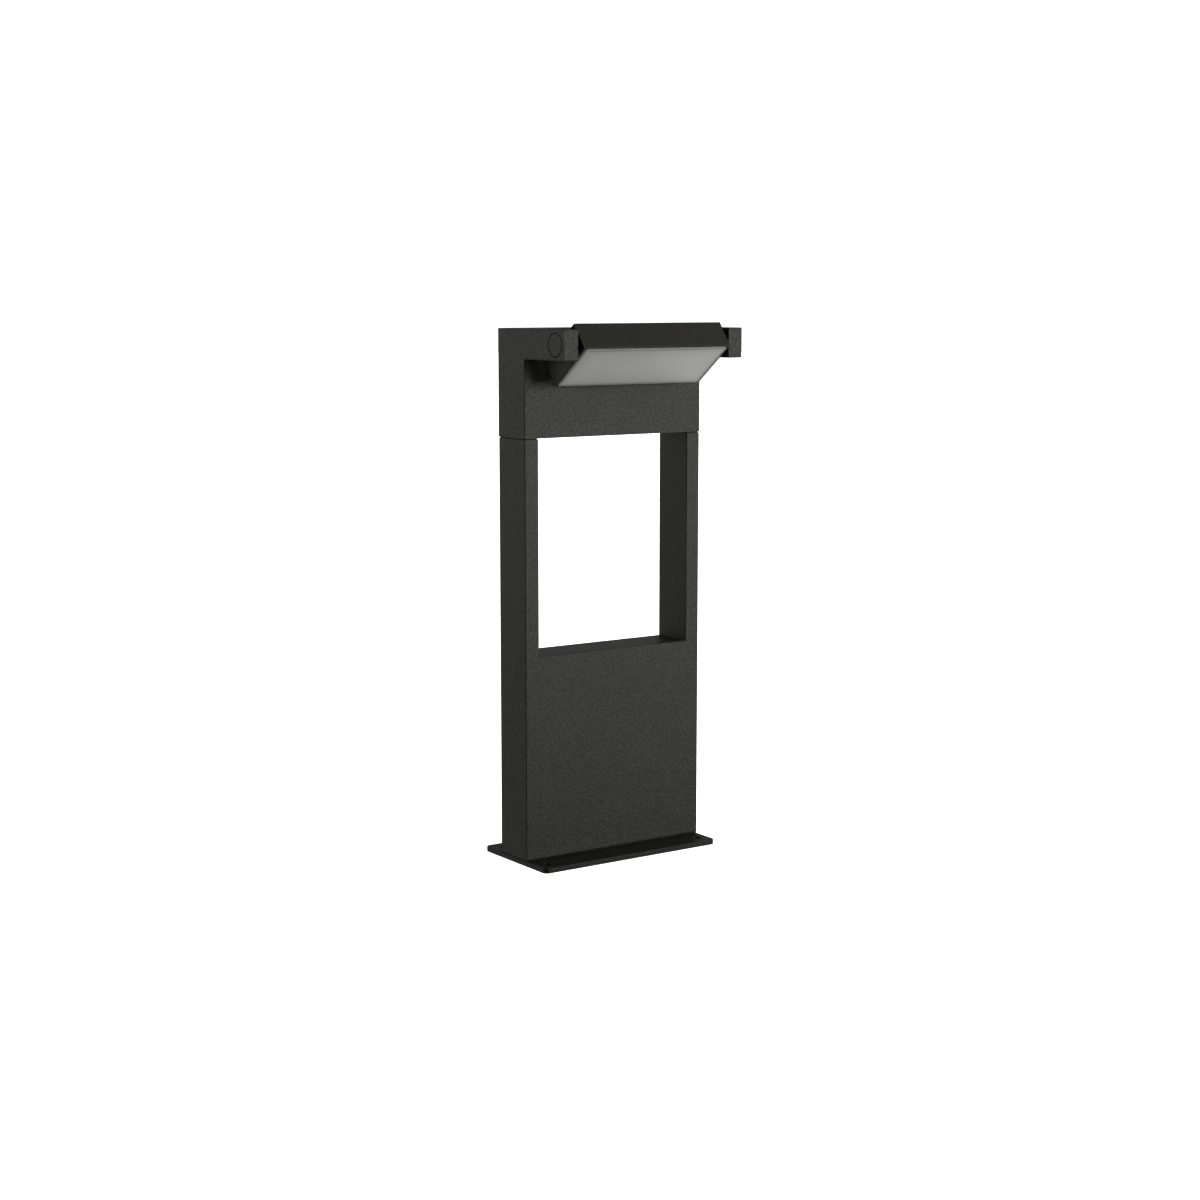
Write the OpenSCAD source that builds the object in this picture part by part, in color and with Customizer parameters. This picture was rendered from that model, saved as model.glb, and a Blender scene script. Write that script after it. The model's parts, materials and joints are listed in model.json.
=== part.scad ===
// Garden bollard light: a flat post with an open window carries a head casting,
// whose two arms hold a tilting lamp head with an opal diffuser.
// Millimetres, +Z up. The origin is the centre of the base plate's underside, the lamp faces -Y.

/* [Overall] */
// Height from the ground to the top of the head casting
total_h = 500; // [460:10:600]
// Width of the head casting
head_w = 200; // [198:1:206]
// Depth of the head casting's upright slab
head_d = 45; // [44:0.5:48]

/* [Base plate] */
// Width of the base plate
plate_w = 198; // [196:1:220]
// Depth of the base plate
plate_d = 106; // [100:1:140]
// Thickness of the base plate
plate_t = 5; // [5:0.5:8]
// Corner radius of the base plate
plate_r = 5; // [2:0.5:10]
// Diameter of the four anchor holes
anchor_d = 6.5; // [5.5:0.5:8.5]
// Distance between the anchor holes across the plate's width
anchor_x = 175; // [160:1:178]
// Distance between the anchor holes across the plate's depth
anchor_y = 77; // [72:1:84]

/* [Post] */
// How far the post's sides stand back from the head casting's
post_inset = 0.3; // [0.1:0.1:0.6]
// Wall of the post's lower box
post_wall = 3; // [2.5:0.25:3]
// Width of each leg beside the window
leg_w = 15; // [15:0.5:17]
// Wall of the legs
leg_wall = 2.5; // [2:0.25:2.5]
// Height of the window's sill above the ground
sill_z = 198; // [170:1:220]

/* [Head casting] */
// Height of the head casting
slab_h = 100; // [96:1:120]
// Shadow gap between the post and the head casting
joint_gap = 0.8; // [0.6:0.1:2]
// How deep the shadow gap goes in from the post's sides
joint_recess = 1; // [0.5:0.5:2]
// Thickness of the two arms
arm_t = 16; // [16:0.5:18]
// Height of the two arms
arm_h = 28; // [28:0.5:30]
// How far the arms reach forward of the slab
arm_reach = 64; // [64:1:74]

/* [Pivot] */
// Distance of the pivot axis behind the arms' front faces
pivot_back = 13.5; // [13:0.5:14]
// Diameter of the flush plugs that cover the pivots
plug_d = 21; // [21:0.5:22]
// Diameter of the pivot shafts
shaft_d = 10; // [10:0.5:10.5]
// Bore of the hollow pivot shaft that carries the lead
shaft_bore = 5.5; // [4:0.5:6]

/* [Lamp head] */
// Gap between each end of the lamp head and its arm
lamp_gap = 2.2; // [2:0.1:2.6]
// Distance of the lamp head's front face ahead of the pivot axis
lamp_front = 14; // [13.5:0.5:15]
// Distance of its lower rear corner behind the pivot axis
lamp_back_low = 49; // [46:0.5:49]
// Distance of its upper rear corner behind the pivot axis
lamp_back_top = 41; // [39:0.5:42]
// Thickness of the lamp head
lamp_t = 27.2; // [26.5:0.1:28]
// Wall of the lamp head
lamp_wall = 3.6; // [3:0.1:3.8]
// Tilt of the lamp head from facing straight down, in degrees
tilt = 36.6; // [0:0.1:90]
// Largest tilt that the stop pin allows, in degrees
tilt_max = 90; // [70:1:90]

/* [Hidden] */

eps = 0.01;
side = [-1, 1];

coat = "#353432";
black_rubber = "#1c1c1c";
steel = "#a9abad";
white = "#f1f1ec";

// Base and post
gasket_t = 1;
gasket_inset = 0.4;
post_w = head_w - 2 * post_inset;
post_d = head_d - 2 * post_inset;
post_z0 = plate_t + gasket_t;
joint_z = total_h - slab_h;
post_z1 = joint_z - joint_gap;
leg_x = post_w / 2 - leg_w / 2;
window_x = post_w / 2 - leg_w;
leg_web = 4;
boss = 12;
boss_h = 20;
boss_x = post_w / 2 - post_wall - boss / 2;
boss_y = post_d / 2 - post_wall - boss / 2;
m5_r = 2.5;
m5_head_r = 4.25;
m5_sink_r = 4.8;
m4_r = 2;
m4_sink_r = 3.8;
m3_r = 1.5;
fit = 0.05;
sink = 0.2;

// Joint between legs and head
joint_screw_y = 11;
lead_hole_r = 3.5;
leg_boss_h = 20;
joint_screw_up = 12;

// Head casting
slab_y = head_d / 2;
arm_x = head_w / 2 - arm_t;
arm_y = -slab_y - arm_reach;
arm_z = total_h - arm_h;
cavity_x = 80;
chamber_x = head_w / 2 - 2.4;
cavity_y = slab_y - 4.5;
cavity_top = total_h - 4;
cover_t = 3;
cover_recess = 0.3;
cover_z = joint_z + cover_recess;
cover_x = window_x - 2.5;
cover_y = slab_y - 2.8;
cover_gap = 0.25;
cover_screw = [74, 12];

// Pivot
pivot_y = arm_y + pivot_back;
pivot_z = total_h - arm_h / 2;
plug_gap = 0.4;
plug_t = 2;
edge_break = 0.4;
pocket_r = plug_d / 2 + plug_gap;
pocket_x = head_w / 2 - 11;
shaft_r = shaft_d / 2;
bush_r = 6.5;
bush_flange_r = 9;
bush_flange_t = 1;
spring_t = 1.2;
nut_x0 = pocket_x + bush_flange_t + spring_t + 0.3;
nut_t = 3;
shaft_x0 = 75.5;
shaft_x1 = nut_x0 + nut_t + 0.1;
lead_r = 1.1;
channel_r = 1.6;
channel_x = head_w / 2 - 4;
stop_r = 9.5;
stop_pin_r = 1.5;
stop_slot_r = 1.7;
stop_slot_depth = 2.7;
stop_angle = tilt_max / 2;

// Lamp head, in its own axes: X along the pivot, Y from front to back, Z away from the diffuser
lamp_x = arm_x - lamp_gap;
half_t = lamp_t / 2;
rear_slope = (lamp_back_low - lamp_back_top) / lamp_t;
rear_round = 3.6;
edge_round = 0.8;
rim = 1.6;
roof_z = half_t - 3;
lens_x = lamp_x - rim - 0.4;
lens_front = -lamp_front + 2.2;
lens_back = lamp_back_low - 4;
lens_r = 4;
lens_clear = 0.4;
lens_t = 3.1;
lens_proud = 0.5;
lens_chamfer = 1.2;
lens_z = -half_t - lens_proud + lens_t;
seal_t = 0.6;
ledge_z = lens_z + seal_t;
ledge = 2;
boss_x0 = 75.2;
pivot_boss_r = 8;
board_t = 1.6;
board_x = 73;
board_y = [-6, 36];
board_z = roof_z - board_t;
board_screw = [66, 31];
led_size = 3.5;
led_t = 0.8;
led_columns = 14;
led_pitch = 9.4;
led_rows = [8, 22];
reflector_top_x = 62;
reflector_top_y = [1, 29];
reflector_low_x = 69.5;
reflector_low_y = [-8.6, 40.8];
reflector_wall = 0.8;
reflector_top_z = board_z - 0.9;
reflector_low_z = ledge_z + 0.3;

// Routes of the inner leads, as round numbers along their middle lines
supply_route = [
  [34, 8, 74], [34, 8, 80], [36, 7, 92], [43, 5, 110], [56, 3, 130], [76, 1, 152], [88, 0, 168],
  [92, 0, 188],
  [leg_x, 0, 220], [leg_x, 0, 300], [leg_x, 0, 380], [leg_x, 0, joint_z + 24], [90, 1, joint_z + 34],
  [82, 3, joint_z + 37], [72, 5, joint_z + 32], [66, 6, joint_z + 23], [62, 6, joint_z + 18.6],
  [59, 6, joint_z + 18], [56, 6, joint_z + 18]
];
led_route = [
  [56, -6, joint_z + 18], [59, -6, joint_z + 18], [64, -6, joint_z + 21], [69, -5, joint_z + 30],
  [76, -4, joint_z + 48],
  [86, -4, joint_z + 68], [93, -7, joint_z + 81], [channel_x, -13, pivot_z], [channel_x, -20, pivot_z],
  [channel_x, -40, pivot_z], [channel_x, -60, pivot_z], [channel_x, pivot_y + 3.2, pivot_z],
  [channel_x - 0.6, pivot_y + 1.2, pivot_z], [channel_x - 2.2, pivot_y, pivot_z],
  [90, pivot_y, pivot_z], [arm_x + 0.1, pivot_y, pivot_z]
];
lamp_route = [
  [arm_x, 0, 0], [78, 0, 0], [74.8, 0, 0], [73, 0.6, 1], [71.9, 2, 3], [71.6, 2.8, 5.4],
  [71.6, 3, 7.2], [71.6, 3, board_z]
];

// ---- Shared shapes ----

// Exact rectangle with round corners
module rounded_rect(w, d, r) {
  square([w - 2 * r, d], center = true);
  square([w, d - 2 * r], center = true);
  for (x = side, y = side)
    translate([x * (w / 2 - r), y * (d / 2 - r)]) circle(r, $fn = 48);
}

// A round bar or bore along X, from x0 to x1
module bar_x(r, x0, x1) {
  translate([x0, 0, 0]) rotate([0, 90, 0]) cylinder(h = x1 - x0, r = r, $fn = 64);
}

module ring_x(r_out, r_in, x0, x1) {
  difference() {
    bar_x(r_out, x0, x1);
    bar_x(r_in, x0 - 1, x1 + 1);
  }
}

// Runs a plane figure drawn in (Y, Z) along X, centred
module along_x(length) {
  rotate([90, 0, 90]) linear_extrude(length, center = true) children();
}

module at_pivot() {
  translate([0, pivot_y, pivot_z]) children();
}

// Lamp axes to row axes
module in_lamp() {
  at_pivot() rotate([-tilt, 0, 0]) children();
}

module both_sides() {
  for (s = side) scale([s, 1, 1]) children();
}

// Machine screw with its head's underside at z = 0 and its shank going up
module cap_screw(r, head_r, head_h, length) {
  difference() {
    union() {
      cylinder(h = length, r = r, $fn = 32);
      translate([0, 0, -head_h]) cylinder(h = head_h, r = head_r, $fn = 32);
    }
    translate([0, 0, -head_h - eps]) cylinder(h = head_h * 0.55, r = r, $fn = 6);
  }
}

// Countersunk screw with its flat face at z = 0 and its shank going up
module sunk_screw(r, head_r, length) {
  difference() {
    union() {
      cylinder(h = length, r = r, $fn = 32);
      cylinder(h = head_r - r, r1 = head_r, r2 = r, $fn = 32);
    }
    translate([0, 0, -eps]) cylinder(h = r, r = r * 0.8, $fn = 6);
  }
}

// Its hole: the screw's face lies `sink` inside the sheet's own face at z = 0
module sunk_hole(r, head_r, length) {
  translate([0, 0, -1]) cylinder(h = length + 1, r = r + fit, $fn = 32);
  translate([0, 0, sink]) cylinder(h = head_r - r, r1 = head_r + fit, r2 = r + fit, $fn = 32);
  translate([0, 0, -1]) cylinder(h = sink + 1 + eps, r = head_r + fit, $fn = 32);
}

function unit(v) = v / norm(v);

// Arc of radius r that rounds the corner p between its neighbours a and b
function corner_arc(a, p, b, r, steps = 8) =
  let (
    ua = unit(a - p),
    ub = unit(b - p),
    half = acos(ua * ub) / 2,
    c = p + unit(ua + ub) * r / sin(half),
    va = p + ua * r / tan(half) - c,
    vb = p + ub * r / tan(half) - c,
    a0 = atan2(va[1], va[0]),
    turn = atan2(va[0] * vb[1] - va[1] * vb[0], va * vb)
  )
  [for (i = [0:steps]) c + r * [cos(a0 + turn * i / steps), sin(a0 + turn * i / steps)]];

function rounded_outline(points, radii) =
  let (n = len(points))
  [for (i = [0:n - 1]) each corner_arc(points[(i + n - 1) % n], points[i], points[(i + 1) % n], radii[i])];

// Round lead swept along a route: one ring of points square to the route at each of its points
function route_dir(p, i) = unit(p[min(i + 1, len(p) - 1)] - p[max(i - 1, 0)]);

// A direction square to the route, carried from ring to ring so that the tube never twists
function ring_side(p, i) =
  let (d = route_dir(p, i))
  i == 0 ? unit(cross(d, [0.2, 1, 0.1])) : let (before = ring_side(p, i - 1)) unit(before - d * (before * d));

function route_ring(p, i, r, sides) =
  let (u = ring_side(p, i), v = cross(u, route_dir(p, i)))
  [for (k = [0:sides - 1]) p[i] + r * (u * cos(360 * k / sides) + v * sin(360 * k / sides))];

module lead(route, r, sides = 10) {
  last = len(route) - 1;
  rings = [for (i = [0:last]) each route_ring(route, i, r, sides)];
  walls = [for (i = [0:last - 1], k = [0:sides - 1])
    let (k2 = (k + 1) % sides)
    [i * sides + k, i * sides + k2, (i + 1) * sides + k2, (i + 1) * sides + k]];
  start_cap = [[for (k = [sides - 1:-1:0]) k]];
  end_cap = [[for (k = [0:sides - 1]) last * sides + k]];
  polyhedron(points = rings, faces = concat(walls, start_cap, end_cap), convexity = 6);
}

// ---- Base ----

module base_plate() {
  color(coat) difference() {
    linear_extrude(plate_t) rounded_rect(plate_w, plate_d, plate_r);
    for (x = side, y = side)
      translate([x * anchor_x / 2, y * anchor_y / 2, -1]) cylinder(h = plate_t + 2, d = anchor_d, $fn = 48);
    for (x = side, y = side)
      translate([x * boss_x, y * boss_y, 0]) sunk_hole(m5_r, m5_sink_r, plate_t + 1);
    translate([0, 0, -1]) cylinder(h = plate_t + 2, r = gland_r + fit, $fn = 64);
    for (x = bracket_screw_x)
      translate([x, bracket_screw_y, 1]) cylinder(h = plate_t, r = m4_r + fit, $fn = 32);
    translate([earth_x, 0, 1]) cylinder(h = plate_t, r = m4_r + fit, $fn = 32);
  }
}

module base_gasket() {
  w = post_w - 2 * gasket_inset;
  d = post_d - 2 * gasket_inset;
  color(black_rubber) translate([0, 0, plate_t]) difference() {
    linear_extrude(gasket_t) difference() {
      square([w, d], center = true);
      difference() {
        square([post_w - 2 * post_wall, post_d - 2 * post_wall], center = true);
        for (x = side, y = side) translate([x * boss_x, y * boss_y]) square(boss, center = true);
      }
    }
    for (x = side, y = side)
      translate([x * boss_x, y * boss_y, -1]) cylinder(h = gasket_t + 2, r = m5_r + fit, $fn = 32);
  }
}

module base_screws() {
  color(steel) for (x = side, y = side)
    translate([x * boss_x, y * boss_y, sink]) sunk_screw(m5_r, m5_sink_r, 16);
}

// Cable gland: a threaded body through the plate, a rubber bush and a dome cap
gland_r = 8;
gland_bore_r = 5;
gland_flange_z = plate_t + 5;
gland_top = gland_flange_z + 9;
gland_seat_r = 6.4;

module gland_body() {
  color("#2a2a2a") difference() {
    union() {
      translate([0, 0, 0.5]) cylinder(h = gland_top - 0.5, r = gland_r, $fn = 64);
      translate([0, 0, plate_t]) cylinder(h = gland_flange_z - plate_t, r = 12.4, $fn = 6);
    }
    cylinder(h = gland_top + 1, r = gland_bore_r, $fn = 64);
    translate([0, 0, gland_top - 6]) cylinder(h = 7, r = gland_seat_r, $fn = 64);
  }
}

module gland_bush() {
  color(black_rubber) translate([0, 0, gland_top - 6]) difference() {
    cylinder(h = 7, r = gland_seat_r - fit, $fn = 64);
    translate([0, 0, -1]) cylinder(h = 10, r = 4, $fn = 64);
  }
}

module gland_cap() {
  color("#2a2a2a") translate([0, 0, gland_flange_z + 1]) difference() {
    union() {
      cylinder(h = 9, r = 11.4, $fn = 6);
      translate([0, 0, 9]) cylinder(h = 3, r1 = 9.8, r2 = 8, $fn = 64);
    }
    translate([0, 0, -1]) cylinder(h = 10, r = gland_r + fit, $fn = 64);
    cylinder(h = 13, r = 4.6, $fn = 64);
  }
}

// Terminal block on an upright bracket
bracket_x = [25, 65];
bracket_t = 1.5;
bracket_h = 84;
bracket_y = 17;
bracket_foot = 25;
bracket_screw_x = [32, 58];
bracket_screw_y = -2;
block_x = [28, 62];
block_z = [48, 74];
block_d = 14;
block_y = bracket_y - bracket_t - block_d;
pole_pitch = 11;
pole_x = [for (i = [-1:1]) (block_x[0] + block_x[1]) / 2 + i * pole_pitch];
pole_z = [block_z[0] + 6, block_z[1] - 6];

module terminal_bracket() {
  color(steel) difference() {
    union() {
      translate([bracket_x[0], bracket_y - bracket_t, plate_t])
        cube([bracket_x[1] - bracket_x[0], bracket_t, bracket_h]);
      translate([bracket_x[0], bracket_y - bracket_foot, plate_t])
        cube([bracket_x[1] - bracket_x[0], bracket_foot, bracket_t]);
    }
    for (x = bracket_screw_x)
      translate([x, bracket_screw_y, plate_t - 1]) cylinder(h = bracket_t + 2, r = m4_r + 0.2, $fn = 32);
  }
}

module bracket_screws() {
  color(steel) for (x = bracket_screw_x)
    translate([x, bracket_screw_y, plate_t + bracket_t]) rotate([180, 0, 0])
      cap_screw(m4_r, 3.5, 2.6, 5);
}

module terminal_block() {
  color(white) difference() {
    translate([block_x[0], block_y, block_z[0]])
      cube([block_x[1] - block_x[0], block_d, block_z[1] - block_z[0]]);
    for (x = pole_x) {
      translate([x, block_y + 9, block_z[0] - 1])
        cylinder(h = block_z[1] - block_z[0] + 2, r = 1.8, $fn = 32);
      for (z = pole_z) translate([x, block_y - 1, z]) rotate([-90, 0, 0]) cylinder(h = 8, r = 3, $fn = 32);
    }
  }
}

module terminal_screws() {
  color("#c9a84a") for (x = pole_x, z = pole_z)
    translate([x, block_y + 4, z]) rotate([-90, 0, 0]) difference() {
      cylinder(h = 3, r = 2.9, $fn = 32);
      translate([0, 0, 0.3]) cube([5, 0.8, 1.2], center = true);
    }
}

earth_x = -35;

module earth_tag() {
  color("#c9a84a") difference() {
    union() {
      translate([earth_x, 0, plate_t]) cylinder(h = 0.8, r = 4.5, $fn = 32);
      translate([earth_x, -2.5, plate_t]) cube([12, 5, 0.8]);
      translate([earth_x + 12, 0, plate_t + 2]) rotate([0, 90, 0]) cylinder(h = 7, r = 2, $fn = 32);
      translate([earth_x + 11, -2, plate_t]) cube([3, 4, 2]);
    }
    translate([earth_x, 0, plate_t - 1]) cylinder(h = 3, r = m4_r + 0.1, $fn = 32);
    translate([earth_x + 13, 0, plate_t + 2]) rotate([0, 90, 0]) cylinder(h = 7, r = 1.3, $fn = 32);
  }
}

module earth_screw() {
  color(steel) translate([earth_x, 0, plate_t + 0.8]) rotate([180, 0, 0]) cap_screw(m4_r, 3.5, 2.6, 4.2);
}

// ---- Post ----

module post_body() {
  leg_in = leg_w - 2 * leg_wall;
  color(coat) difference() {
    translate([-post_w / 2, -post_d / 2, post_z0]) cube([post_w, post_d, post_z1 - post_z0]);
    translate([-window_x, -post_d, sill_z]) cube([2 * window_x, 2 * post_d, total_h]);
    difference() {
      translate([-post_w / 2 + post_wall, -post_d / 2 + post_wall, 0])
        cube([post_w - 2 * post_wall, post_d - 2 * post_wall, sill_z - post_wall]);
      for (x = side, y = side)
        translate([x * boss_x - boss / 2, y * boss_y - boss / 2, 0]) cube([boss, boss, post_z0 + boss_h]);
    }
    for (x = side)
      translate([x * leg_x - leg_in / 2, -post_d / 2 + leg_wall, sill_z - 2 * post_wall])
        cube([leg_in, post_d - 2 * leg_wall, post_z1 - leg_web - sill_z + 2 * post_wall]);
    for (x = side, y = side)
      translate([x * boss_x, y * boss_y, 0]) cylinder(h = post_z0 + 12, r = m5_r + fit, $fn = 32);
    for (x = side, y = side)
      translate([x * leg_x, y * joint_screw_y, post_z1 - leg_web - 1])
        cylinder(h = leg_web + 2, r = m5_r + 0.3, $fn = 32);
    translate([leg_x, 0, post_z1 - leg_web - 1]) cylinder(h = leg_web + 2, r = lead_hole_r, $fn = 32);
  }
}

module joint_gaskets() {
  color(black_rubber) for (s = side) translate([s * leg_x, 0, post_z1]) difference() {
    linear_extrude(joint_gap)
      square([leg_w - 2 * joint_recess, post_d - 2 * joint_recess], center = true);
    for (y = side)
      translate([0, y * joint_screw_y, -1]) cylinder(h = joint_gap + 2, r = m5_r + 0.3, $fn = 32);
    if (s > 0) translate([0, 0, -1]) cylinder(h = joint_gap + 2, r = lead_hole_r, $fn = 32);
  }
}

module joint_screws() {
  color(steel) for (x = side, y = side) translate([x * leg_x, y * joint_screw_y, post_z1 - leg_web])
    cap_screw(m5_r, m5_head_r, 5, leg_web + joint_gap + joint_screw_up);
}

// ---- Head casting ----

module head_slab() {
  translate([-head_w / 2, -slab_y, joint_z]) cube([head_w, head_d, slab_h]);
}

module head_arm() {
  translate([arm_x, arm_y, arm_z]) cube([arm_t, arm_reach + eps, arm_h]);
}

module head_cavity() {
  translate([-cover_x, -cover_y, joint_z - 1])
    cube([2 * cover_x, 2 * cover_y, cover_recess + cover_t + gasket_t + 1]);
  difference() {
    translate([-cavity_x, -cavity_y, joint_z]) cube([2 * cavity_x, 2 * cavity_y, cavity_top - joint_z]);
    for (x = side, y = side)
      translate([x * cover_screw[0] - boss / 2, y * cover_screw[1] - boss / 2, joint_z])
        cube([boss, boss, leg_boss_h]);
  }
  for (x = side)
    translate([min(x * (cavity_x - 1), x * chamber_x), -cavity_y, joint_z + leg_boss_h])
      cube([chamber_x - cavity_x + 1, 2 * cavity_y, cavity_top - joint_z - leg_boss_h]);
}

module pivot_pocket() {
  at_pivot() {
    bar_x(pocket_r, pocket_x, head_w / 2 + 1);
    bar_x(bush_r, arm_x - 1, pocket_x + 1);
    translate([head_w / 2 - edge_break, 0, 0]) rotate([0, 90, 0])
      cylinder(h = edge_break + eps, r1 = pocket_r, r2 = pocket_r + edge_break, $fn = 64);
  }
}

// Arc slot for the stop pin, in the inner face of the arm at -X
module stop_slot() {
  spread = stop_angle + asin(stop_slot_r / stop_r) + 0.5;
  translate([-arm_x - stop_slot_depth, pivot_y, pivot_z]) rotate([90, 0, 90]) rotate([0, 0, -spread])
    rotate_extrude(angle = 2 * spread, $fn = 96)
      translate([stop_r - stop_slot_r, 0]) square([2 * stop_slot_r, stop_slot_depth + 1]);
}

module head_casting() {
  color(coat) difference() {
    union() {
      head_slab();
      both_sides() head_arm();
    }
    head_cavity();
    both_sides() pivot_pocket();
    stop_slot();
    translate([channel_x, -slab_y + 6, pivot_z]) rotate([90, 0, 0])
      cylinder(h = -pivot_y - slab_y + 6 - pocket_r + 1, r = channel_r, $fn = 32);
    for (x = side, y = side)
      translate([x * leg_x, y * joint_screw_y, joint_z - 1])
        cylinder(h = joint_screw_up + 3, r = m5_r + fit, $fn = 32);
    translate([leg_x, 0, joint_z - 1]) cylinder(h = leg_boss_h + 2, r = lead_hole_r, $fn = 32);
    for (x = side, y = side)
      translate([x * cover_screw[0], y * cover_screw[1], joint_z])
        cylinder(h = 14, r = m4_r + fit, $fn = 32);
  }
}

module head_cover() {
  color(coat) translate([0, 0, cover_z]) difference() {
    translate([-cover_x + cover_gap, -cover_y + cover_gap, 0])
      cube([2 * (cover_x - cover_gap), 2 * (cover_y - cover_gap), cover_t]);
    for (x = side, y = side)
      translate([x * cover_screw[0], y * cover_screw[1], 0]) sunk_hole(m4_r, m4_sink_r, cover_t + 1);
    for (x = side) translate([x * driver_screw_x, 0, 1]) cylinder(h = cover_t, r = m4_r + fit, $fn = 32);
  }
}

module cover_gasket() {
  color(black_rubber) translate([0, 0, cover_z + cover_t]) difference() {
    linear_extrude(gasket_t) difference() {
      square([2 * (cover_x - cover_gap), 2 * (cover_y - cover_gap)], center = true);
      difference() {
        square([2 * (cavity_x - 1), 2 * (cavity_y - 1)], center = true);
        for (x = side, y = side)
          translate([x * cover_screw[0], y * cover_screw[1]]) square(boss, center = true);
      }
    }
    for (x = side, y = side)
      translate([x * cover_screw[0], y * cover_screw[1], -1])
        cylinder(h = gasket_t + 2, r = m4_r + fit, $fn = 32);
  }
}

module cover_screws() {
  color(steel) for (x = side, y = side)
    translate([x * cover_screw[0], y * cover_screw[1], cover_z + sink]) sunk_screw(m4_r, m4_sink_r, 12);
}

// LED driver, standing on the cover
driver = [110, 28, 25];
driver_ear = 8;
driver_screw_x = driver[0] / 2 + driver_ear / 2;
driver_z = cover_z + cover_t;

module driver_case() {
  color("#3c3f43") translate([0, 0, driver_z]) difference() {
    union() {
      translate([-driver[0] / 2, -driver[1] / 2, 0]) cube(driver);
      translate([-driver[0] / 2 - driver_ear, -6, 0]) cube([driver[0] + 2 * driver_ear, 12, 2.5]);
      for (y = side) translate([driver[0] / 2, 6 * y, joint_z + 18 - driver_z])
        rotate([0, 90, 0]) cylinder(h = 1, r = 3.4, $fn = 32);
    }
    for (x = side) translate([x * driver_screw_x, 0, -1]) cylinder(h = 5, r = m4_r + 0.2, $fn = 32);
  }
}

module driver_screws() {
  color(steel) for (x = side)
    translate([x * driver_screw_x, 0, driver_z + 2.5]) rotate([180, 0, 0])
      cap_screw(m4_r, 3.5, 2.6, 4.3);
}

module supply_lead() {
  color("#202020") lead(supply_route, 2.6, 12);
}

module led_lead() {
  color("#8a8a8a") lead(led_route, lead_r, 10);
}

// ---- Pivots, drawn for the +X side ----

module bush() {
  difference() {
    union() {
      bar_x(bush_r - 0.02, arm_x, pocket_x + eps);
      bar_x(bush_flange_r, pocket_x, pocket_x + bush_flange_t);
    }
    bar_x(shaft_r + fit, arm_x - 1, pocket_x + 3);
  }
}

module pivot_bushes() {
  color("#d8d4c6") both_sides() at_pivot() bush();
}

// Coned spring washer, its wide rim against the bush
module spring_washers() {
  r_in = shaft_r + 0.3;
  sheet = 0.5;
  color(steel) both_sides() at_pivot()
    translate([pocket_x + bush_flange_t, 0, 0]) rotate([0, 90, 0]) rotate_extrude($fn = 64)
      polygon([[bush_flange_r, 0], [bush_flange_r, sheet], [r_in, spring_t], [r_in, spring_t - sheet]]);
}

module plug() {
  x0 = head_w / 2 - plug_t;
  difference() {
    union() {
      bar_x(plug_d / 2, x0, head_w / 2 - edge_break);
      translate([head_w / 2 - edge_break, 0, 0]) rotate([0, 90, 0])
        cylinder(h = edge_break, r1 = plug_d / 2, r2 = plug_d / 2 - edge_break, $fn = 64);
    }
    bar_x(plug_d / 2 - 2.5, x0 - 1, x0 + 0.5);
  }
}

module right_plug() {
  color(coat) at_pivot() plug();
}

module left_plug() {
  color(coat) at_pivot() scale([-1, 1, 1]) plug();
}

module pivot_bolt() {
  head_x = nut_x0;
  color(steel) at_pivot() scale([-1, 1, 1]) difference() {
    union() {
      bar_x(shaft_r, shaft_x0, head_x + eps);
      bar_x(8, head_x, head_x + 4);
    }
    translate([head_x + 1.6, 0, 0]) rotate([0, 90, 0]) cylinder(h = 3, r = 3.4, $fn = 6);
  }
}

module pivot_shaft() {
  color(steel) at_pivot() ring_x(shaft_r, shaft_bore / 2, shaft_x0, shaft_x1);
}

module pivot_nut() {
  color(steel) at_pivot() difference() {
    translate([nut_x0, 0, 0]) rotate([0, 90, 0]) cylinder(h = nut_t, r = 8.6, $fn = 6);
    bar_x(shaft_r + 0.02, nut_x0 - 1, nut_x0 + nut_t + 1);
  }
}

module friction_washers() {
  color("#d8d4c6") both_sides() at_pivot() ring_x(7.4, shaft_r + fit, lamp_x, arm_x - 0.3);
}

oring_r = 0.8;
oring_seat = 1.65;

module pivot_orings() {
  color(black_rubber) both_sides() at_pivot()
    translate([lamp_x - oring_seat / 2, 0, 0]) rotate([0, 90, 0])
      rotate_extrude($fn = 64) translate([shaft_r + 0.1 + oring_r, 0]) circle(oring_r, $fn = 24);
}

module stop_pin() {
  color(steel) in_lamp()
    translate([0, stop_r * cos(stop_angle), stop_r * sin(stop_angle)])
      bar_x(stop_pin_r, -arm_x - 2.3, -lamp_x + 3);
}

// ---- Lamp head ----

module lamp_outline() {
  polygon(rounded_outline(
    [[-lamp_front, half_t], [-lamp_front, -half_t], [lamp_back_low, -half_t], [lamp_back_top, half_t]],
    [edge_round, edge_round, rear_round, edge_round]
  ));
}

function rear_inside(z) = lamp_back_top + rear_slope * (half_t - z) - lamp_wall;

module lamp_cavity() {
  front = -lamp_front + lamp_wall;
  polygon([[front, roof_z], [front, ledge_z - 1], [lens_back - ledge, ledge_z - 1],
    [lens_back - ledge, ledge_z + 6], [rear_inside(roof_z), roof_z]]);
}

module lens_plan(grow) {
  w = 2 * (lens_x + grow);
  d = lens_back - lens_front + 2 * grow;
  translate([0, (lens_back + lens_front) / 2]) rounded_rect(w, d, lens_r + grow);
}

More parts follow.
